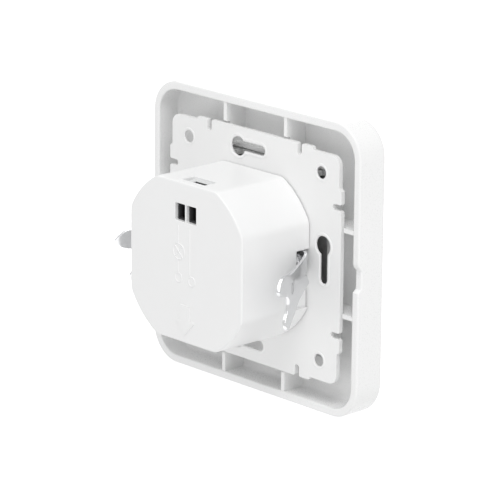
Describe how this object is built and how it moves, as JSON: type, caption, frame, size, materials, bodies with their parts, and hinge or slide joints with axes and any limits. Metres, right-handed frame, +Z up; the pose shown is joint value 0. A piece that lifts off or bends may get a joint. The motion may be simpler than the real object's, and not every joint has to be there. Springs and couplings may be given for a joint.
{
  "type": "flush-mounted metering switch",
  "caption": "Square flush wall switch with energy metering: cover frame, push key, mounting plate, spreading claws and a deep rear housing with push-in wire entries.",
  "frame": {"origin": "middle of the wall plane, on which the frame's rim and the mounting plate lie", "axes": "+X right as seen from the room, +Y into the wall along the housing, +Z up"},
  "size_m": [0.0886, 0.039, 0.0886],
  "materials": {
    "frame_white": "fine satin moulded polycarbonate",
    "key_white": "fine satin moulded polycarbonate",
    "light_clear": "polished clear acrylic",
    "chassis_white": "satin moulded nylon",
    "plate_white": "satin moulded nylon with glass filling",
    "housing_white": "fine spark-eroded moulded plastic",
    "zinc": "bright zinc plating with light stamping marks",
    "steel": "plain spring steel",
    "terminal_grey": "satin moulded nylon",
    "copper": "tinned copper alloy, lightly tarnished",
    "board_green": "solder resist over woven glass laminate",
    "dark_plastic": "moulded epoxy",
    "ferrite": "sintered ferrite, lacquered",
    "capacitor_sleeve": "shrunk plastic sleeve",
    "film_yellow": "moulded capacitor case",
    "varistor_blue": "dipped epoxy",
    "ceramic": "unglazed ceramic tube",
    "aluminium": "plain rolled sheet"
  },
  "bodies": {
    "housing": {"cover_frame": "frame_white", "status_led": "light_clear", "front_chassis": "chassis_white", "mounting_plate": "plate_white", "rear_housing": "housing_white", "key_spring_right": "steel", "key_spring_left": "steel", "clamp_spring_right": "steel", "clamp_spring_left": "steel", "housing_screw_upper_right": "steel", "housing_screw_upper_left": "steel", "housing_screw_lower_right": "steel", "housing_screw_lower_left": "steel", "terminal_block": "terminal_grey", "wire_contact_right": "copper", "wire_contact_left": "copper", "metering_shunt": "copper", "power_board": "board_green", "logic_board": "board_green", "pin_header": "dark_plastic", "switch_body": "dark_plastic", "bridge_rectifier": "dark_plastic", "power_transistor_right": "dark_plastic", "power_transistor_left": "dark_plastic", "metering_chip": "dark_plastic", "choke": "ferrite", "drum_inductor": "ferrite", "bulk_capacitor": "capacitor_sleeve", "film_capacitor": "film_yellow", "varistor": "varistor_blue", "fuse": "ceramic", "heat_spreader": "aluminium", "radio_module": "aluminium"},
    "push_key": {"push_key": "key_white", "light_pipe": "light_clear"},
    "switch_plunger": {"switch_plunger": "terminal_grey"},
    "claw_right": {"claw_right": "zinc"},
    "claw_left": {"claw_left": "zinc"},
    "claw_screw_right": {"claw_screw_right": "zinc"},
    "claw_screw_left": {"claw_screw_left": "zinc"},
    "release_bar": {"release_bar": "terminal_grey"}
  },
  "joints": [
    {"name": "key_press", "type": "hinge", "parent": "housing", "child": "push_key", "pos_m": [0, -0.0082, 0.0234], "axis": [1, 0, 0], "range_deg": [0, 1.5], "stiffness_Nm_per_rad": 3, "springref_deg": -1.15, "deforming": ["key_spring_right", "key_spring_left"]},
    {"name": "plunger_slide", "type": "slide", "parent": "housing", "child": "switch_plunger", "axis": [0, 1, 0], "range_m": [0, 0.0003]},
    {"name": "claw_spread_right", "type": "hinge", "parent": "housing", "child": "claw_right", "pos_m": [0.0175, 0.0014, 0], "axis": [0, 0, -1], "range_deg": [-15, 8]},
    {"name": "claw_spread_left", "type": "hinge", "parent": "housing", "child": "claw_left", "pos_m": [-0.0175, 0.0014, 0], "axis": [0, 0, 1], "range_deg": [-15, 8]},
    {"name": "claw_screw_turn_right", "type": "hinge", "parent": "housing", "child": "claw_screw_right", "pos_m": [0.021, 0, 0.0015], "axis": [0, 1, 0], "range_deg": [-785, 420]},
    {"name": "claw_screw_turn_left", "type": "hinge", "parent": "housing", "child": "claw_screw_left", "pos_m": [-0.021, 0, 0.0015], "axis": [0, 1, 0], "range_deg": [-785, 420]},
    {"name": "release_press", "type": "slide", "parent": "housing", "child": "release_bar", "axis": [0, 0, -1], "range_m": [0, 0.0015], "stiffness_N_per_m": 1500, "springref_m": -0.0005, "deforming": ["clamp_spring_right", "clamp_spring_left"]}
  ],
  "couplings": [
    {"joint": "plunger_slide", "follows": "key_press", "m_per_rad": 0.0112},
    {"joint": "claw_screw_turn_right", "follows": "claw_spread_right", "ratio": 52},
    {"joint": "claw_screw_turn_left", "follows": "claw_spread_left", "ratio": 52}
  ]
}
